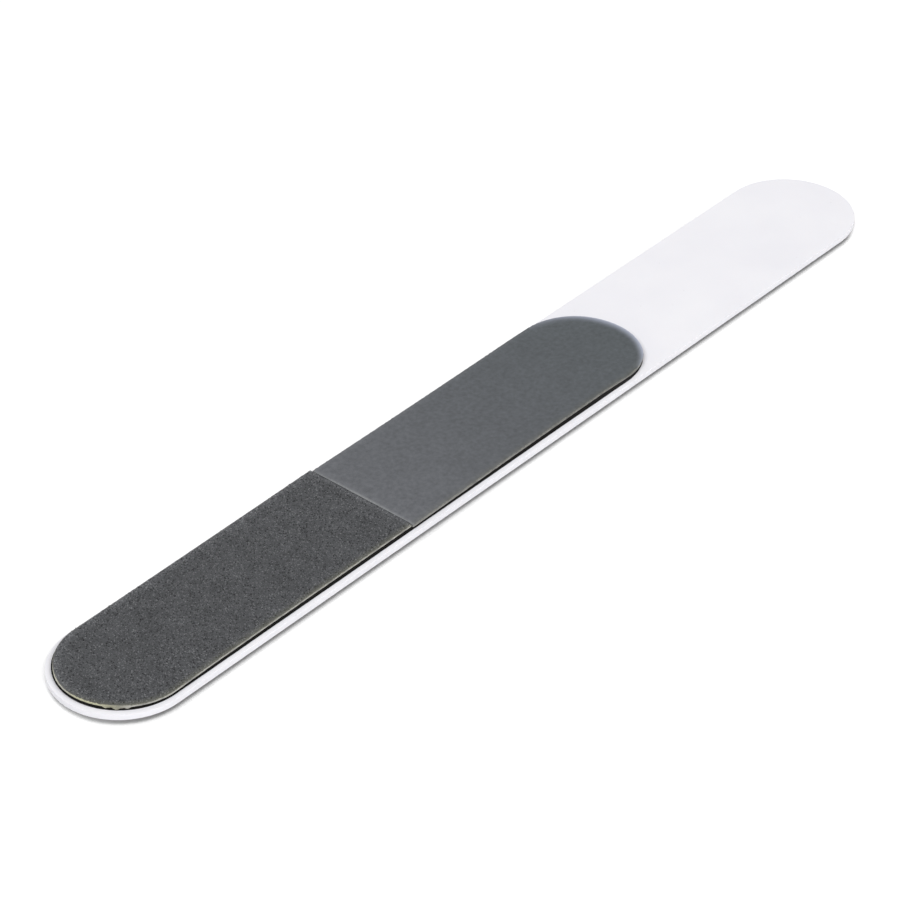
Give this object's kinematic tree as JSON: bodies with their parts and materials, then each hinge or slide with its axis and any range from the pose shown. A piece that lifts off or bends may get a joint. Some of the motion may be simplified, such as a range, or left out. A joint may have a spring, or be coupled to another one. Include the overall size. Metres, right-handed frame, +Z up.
{
  "type": "nail file",
  "caption": "Flat round-ended nail file: white plastic plate with a foam-backed coarse and fine abrasive pad on one face and a bare handle end.",
  "frame": {"origin": "middle of the plate's flat underside, on the surface that the file lies on", "axes": "+X along the file from the coarse tip to the bare handle end, +Y across it, +Z up out of the abrasive face"},
  "size_m": [0.18, 0.022, 0.0022],
  "materials": {
    "plate": "satin moulded white polystyrene",
    "adhesive": "clear tacky transfer film",
    "foam": "matt closed-cell black foam",
    "backing_paper": "cream latex paper, cut edge",
    "coarse_grit": "coarse dark grey mineral grit in resin",
    "fine_grit": "fine mid-grey mineral grit in resin"
  },
  "bodies": {
    "root": {"core_plate": "plate", "foam_base_film": "adhesive", "foam_cushion": "foam", "coarse_film": "adhesive", "coarse_paper": "backing_paper", "coarse_grit": "coarse_grit", "fine_film": "adhesive", "fine_paper": "backing_paper", "fine_grit": "fine_grit"}
  },
  "joints": []
}
